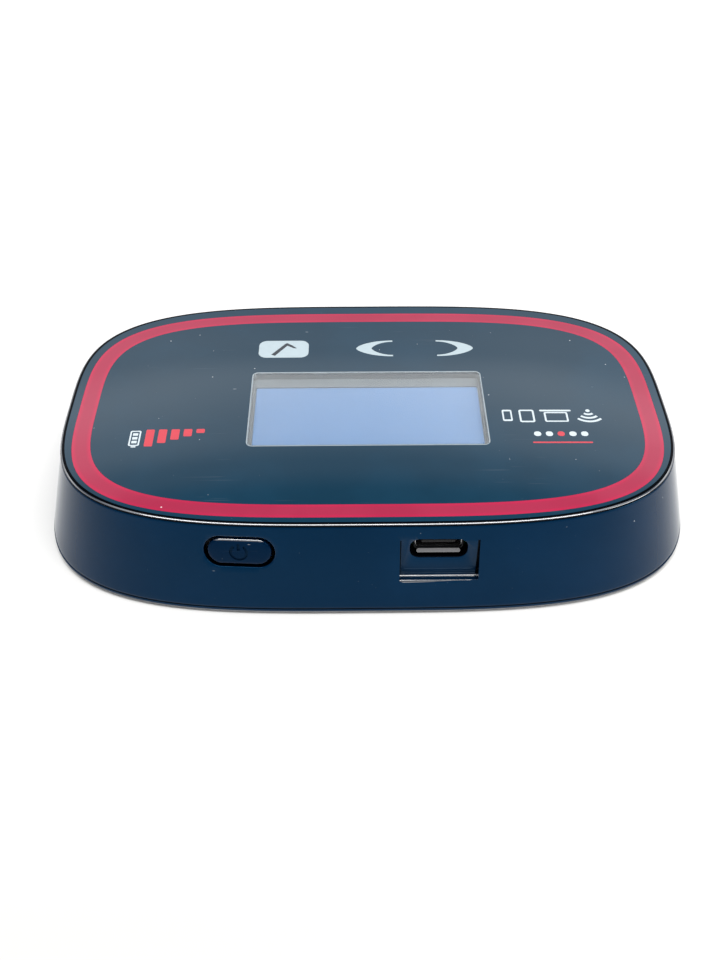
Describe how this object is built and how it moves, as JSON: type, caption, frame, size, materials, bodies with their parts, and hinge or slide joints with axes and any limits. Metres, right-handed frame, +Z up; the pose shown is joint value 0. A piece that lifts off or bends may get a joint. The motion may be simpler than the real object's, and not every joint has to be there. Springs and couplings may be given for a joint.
{
  "type": "mobile hotspot",
  "caption": "Palm-sized battery-powered Wi-Fi router: domed rounded housing with flared walls, glossy top panel with display, touch keys and red ring, side power button and micro-USB socket.",
  "frame": {"origin": "centre of the underside, at the lowest point of the battery cover", "axes": "+X along the long side, -Y out of the wall with the power button and micro-USB socket, +Z up out of the display"},
  "size_m": [0.106, 0.0644, 0.0164],
  "materials": {
    "gloss_housing": "high-gloss moulded plastic, dark navy, fine dust and hairline scratches",
    "gloss_panel": "polished black lens panel, very slightly crowned",
    "ring_red": "translucent red inlay under a gloss surface",
    "window": "clear polished display window",
    "icon_white": "white translucent touch icon, flush",
    "display": "pale blue liquid-crystal panel, satin",
    "display_frame": "grey display surround",
    "light_guide": "milky diffusing plastic",
    "foam_black": "black insulating plastic and foam",
    "shield_steel": "tin-plated sheet steel",
    "connector_steel": "nickel-plated connector shell",
    "contact_gold": "gold-plated contact",
    "antenna_copper": "copper foil on film",
    "board": "green solder mask",
    "frame_plastic": "fine-textured structural plastic",
    "back_cover": "satin navy plastic with a glossy rolled edge",
    "battery_wrap": "satin black battery case",
    "sim_plastic": "white card plastic"
  },
  "bodies": {
    "housing": {"accent_ring": "ring_red", "antenna_carrier_left": "frame_plastic", "antenna_carrier_right": "frame_plastic", "baseband_shield": "shield_steel", "battery_contact_1": "contact_gold", "battery_contact_2": "contact_gold", "battery_contact_3": "contact_gold", "battery_contact_4": "contact_gold", "battery_contact_block": "foam_black", "chassis_screw_1": "shield_steel", "chassis_screw_2": "shield_steel", "chassis_screw_3": "shield_steel", "chassis_screw_4": "shield_steel", "diversity_antenna": "antenna_copper", "key_back": "icon_white", "key_forward": "icon_white", "key_light_guide": "light_guide", "key_ok": "icon_white", "lcd_backlight": "light_guide", "lcd_bezel": "display_frame", "lcd_flex": "antenna_copper", "lcd_gasket": "foam_black", "lcd_glass": "display", "main_antenna": "antenna_copper", "main_board": "board", "micro_usb_shell": "connector_steel", "micro_usb_tongue": "foam_black", "mid_frame": "frame_plastic", "power_switch": "shield_steel", "rf_shield": "shield_steel", "sim_contact_block": "foam_black", "sim_holder": "shield_steel", "top_plate": "gloss_panel", "touch_sensor_flex": "antenna_copper", "upper_housing": "gloss_housing", "wifi_antenna": "antenna_copper", "wifi_shield": "shield_steel", "window_lens": "window"},
    "power_button": {"power_button": "gloss_housing"},
    "battery": {"battery_pack": "battery_wrap", "battery_terminal_board": "contact_gold"},
    "battery_cover": {"battery_cover": "back_cover"},
    "sim_card": {"sim_card": "sim_plastic"}
  },
  "joints": [
    {"name": "power_button_press", "type": "slide", "parent": "housing", "child": "power_button", "axis": [0, 1, 0], "range_m": [0, 0.0004], "stiffness_N_per_m": 600},
    {"name": "battery_lift_out", "type": "slide", "parent": "housing", "child": "battery", "axis": [0, 0, -1], "range_m": [0, 0.02]},
    {"name": "battery_cover_off", "type": "slide", "parent": "battery", "child": "battery_cover", "axis": [0, 0, -1], "range_m": [0, 0.015]},
    {"name": "sim_card_slide", "type": "slide", "parent": "housing", "child": "sim_card", "axis": [0, 1, 0], "range_m": [0, 0.012]}
  ]
}
